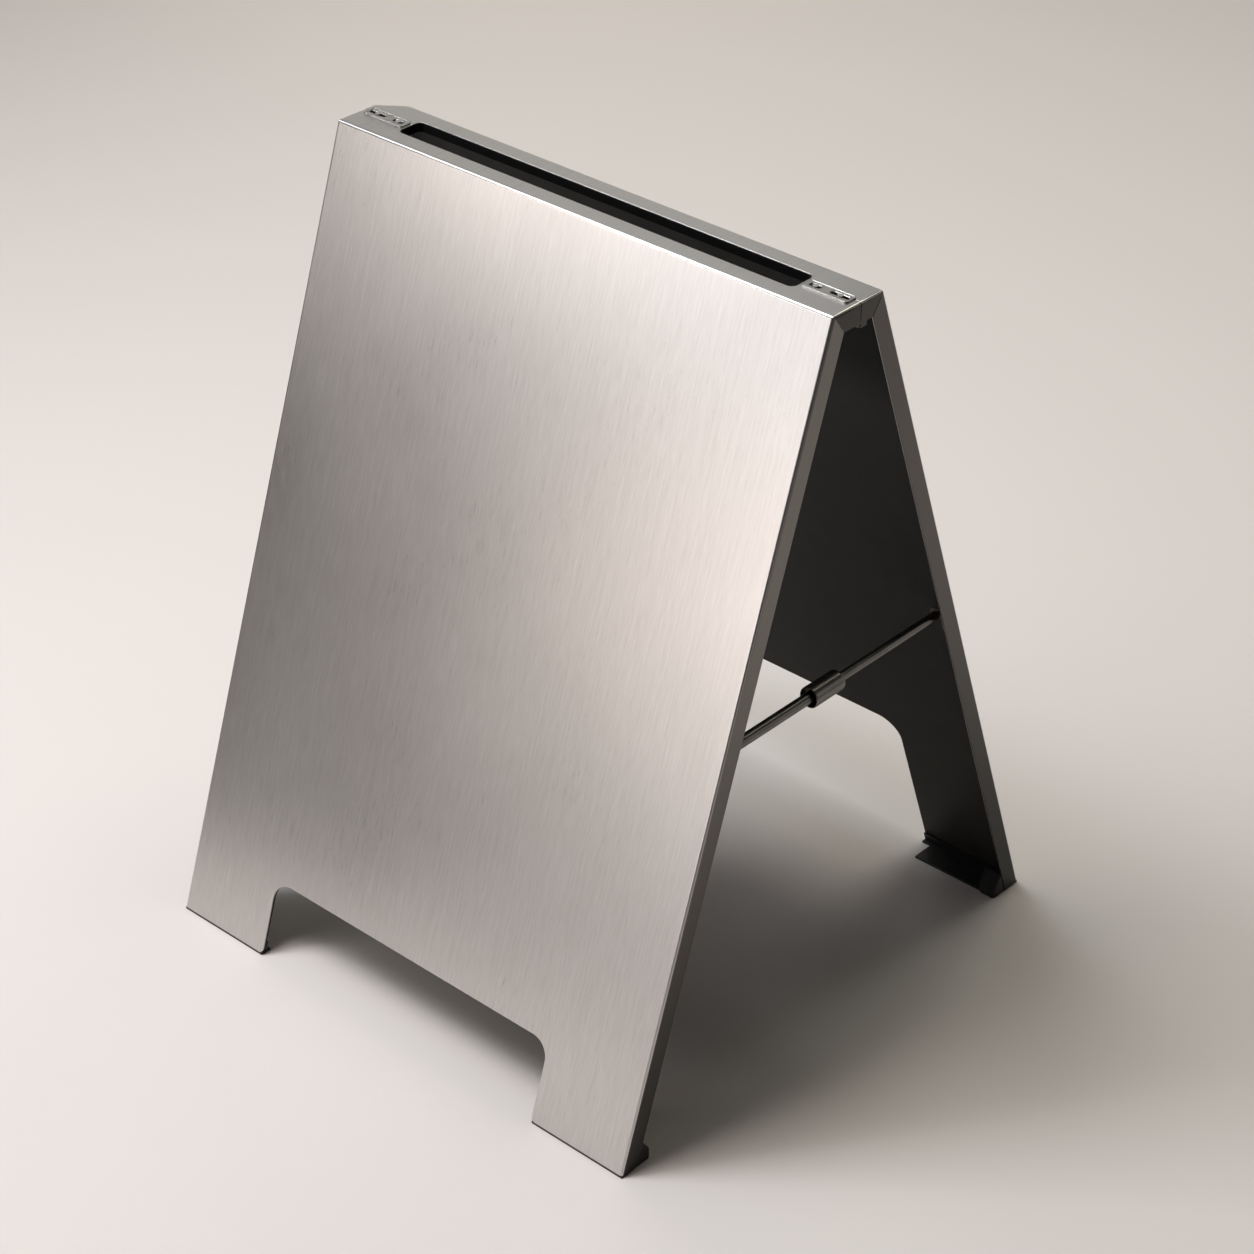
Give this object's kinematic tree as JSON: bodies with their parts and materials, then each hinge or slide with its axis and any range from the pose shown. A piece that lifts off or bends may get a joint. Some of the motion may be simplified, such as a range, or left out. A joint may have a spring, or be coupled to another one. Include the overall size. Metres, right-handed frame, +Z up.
{
  "type": "a-frame sidewalk sign",
  "caption": "Folding A-frame sidewalk sign of folded brushed steel panels, with a hand slot in the top, dark liners, feet and a sliding stay at each side.",
  "frame": {"origin": "on the floor, under the middle of the open sign", "axes": "+X across the sign to the right as seen from the front, +Y from the front face to the rear face, +Z up"},
  "size_m": [0.6, 0.601, 0.7794],
  "materials": {
    "brushed_sheet": "vertical brushed stainless sheet",
    "cover_plate": "fine brushed steel plate with a bright raised rim",
    "dark_liner": "charcoal composite board with a smooth satin skin",
    "black_trim": "black moulded edge lining",
    "hinge_steel": "dark phosphated steel",
    "bright_fastener": "bright zinc-plated steel",
    "foot_black": "black powder-coated steel",
    "foot_rubber": "black moulded rubber",
    "stay_dark": "dark glossy nickel-plated steel"
  },
  "bodies": {
    "front_frame": {"front_panel": "brushed_sheet", "front_liner": "dark_liner", "front_slot_trim": "black_trim", "front_hinge_leaf_left": "hinge_steel", "front_hinge_leaf_right": "hinge_steel", "hinge_pin_left": "hinge_steel", "hinge_pin_right": "hinge_steel", "front_leaf_rivets": "hinge_steel", "hinge_cover_left": "cover_plate", "hinge_cover_right": "cover_plate", "cover_screws_left": "bright_fastener", "cover_screws_right": "bright_fastener", "foot_plate_front_left": "foot_black", "foot_plate_front_right": "foot_black", "foot_cap_front_left": "foot_rubber", "foot_cap_front_right": "foot_rubber", "stay_stud_left": "stay_dark", "stay_stud_right": "stay_dark", "stay_clip_left": "bright_fastener", "stay_clip_right": "bright_fastener"},
    "rear_frame": {"rear_panel": "brushed_sheet", "rear_liner": "dark_liner", "rear_slot_trim": "black_trim", "rear_hinge_leaf_left": "hinge_steel", "rear_hinge_leaf_right": "hinge_steel", "rear_leaf_rivets": "hinge_steel", "foot_plate_rear_left": "foot_black", "foot_plate_rear_right": "foot_black", "foot_cap_rear_left": "foot_rubber", "foot_cap_rear_right": "foot_rubber", "stay_keeper_left": "stay_dark", "stay_keeper_right": "stay_dark"},
    "stay_tube_body_left": {"stay_eye_left": "stay_dark", "stay_tube_left": "stay_dark"},
    "stay_tube_body_right": {"stay_eye_right": "stay_dark", "stay_tube_right": "stay_dark"},
    "stay_collar_body_left": {"stay_collar_left": "stay_dark"},
    "stay_collar_body_right": {"stay_collar_right": "stay_dark"},
    "stay_rod_body_left": {"stay_rod_left": "stay_dark"},
    "stay_rod_body_right": {"stay_rod_right": "stay_dark"}
  },
  "joints": [
    {"name": "fold", "type": "hinge", "parent": "front_frame", "child": "rear_frame", "pos_m": [0, 0.003, 0.75782], "axis": [1, 0, 0], "range_deg": [-37, 0]},
    {"name": "stay_swing_left", "type": "hinge", "parent": "front_frame", "child": "stay_tube_body_left", "pos_m": [-0.287, -0.15223, 0.39], "axis": [1, 0, 0], "range_deg": [-106.01, 0]},
    {"name": "stay_slide_left", "type": "slide", "parent": "stay_tube_body_left", "child": "stay_rod_body_left", "axis": [0, -1, 0], "range_m": [0, 0.0851]},
    {"name": "collar_twist_left", "type": "hinge", "parent": "stay_tube_body_left", "child": "stay_collar_body_left", "pos_m": [-0.287, -0.014, 0.39], "axis": [0, 1, 0], "range_deg": [0, 90]},
    {"name": "stay_swing_right", "type": "hinge", "parent": "front_frame", "child": "stay_tube_body_right", "pos_m": [0.287, -0.15223, 0.39], "axis": [1, 0, 0], "range_deg": [-106.01, 0]},
    {"name": "stay_slide_right", "type": "slide", "parent": "stay_tube_body_right", "child": "stay_rod_body_right", "axis": [0, -1, 0], "range_m": [0, 0.0851]},
    {"name": "collar_twist_right", "type": "hinge", "parent": "stay_tube_body_right", "child": "stay_collar_body_right", "pos_m": [0.287, -0.014, 0.39], "axis": [0, 1, 0], "range_deg": [0, 90]}
  ],
  "couplings": [
    {"joint": "stay_swing_left", "follows": "fold", "ratio": 2.8649},
    {"joint": "stay_slide_left", "follows": "fold", "m_per_rad": -0.13162},
    {"joint": "stay_swing_right", "follows": "fold", "ratio": 2.8649},
    {"joint": "stay_slide_right", "follows": "fold", "m_per_rad": -0.13162}
  ]
}
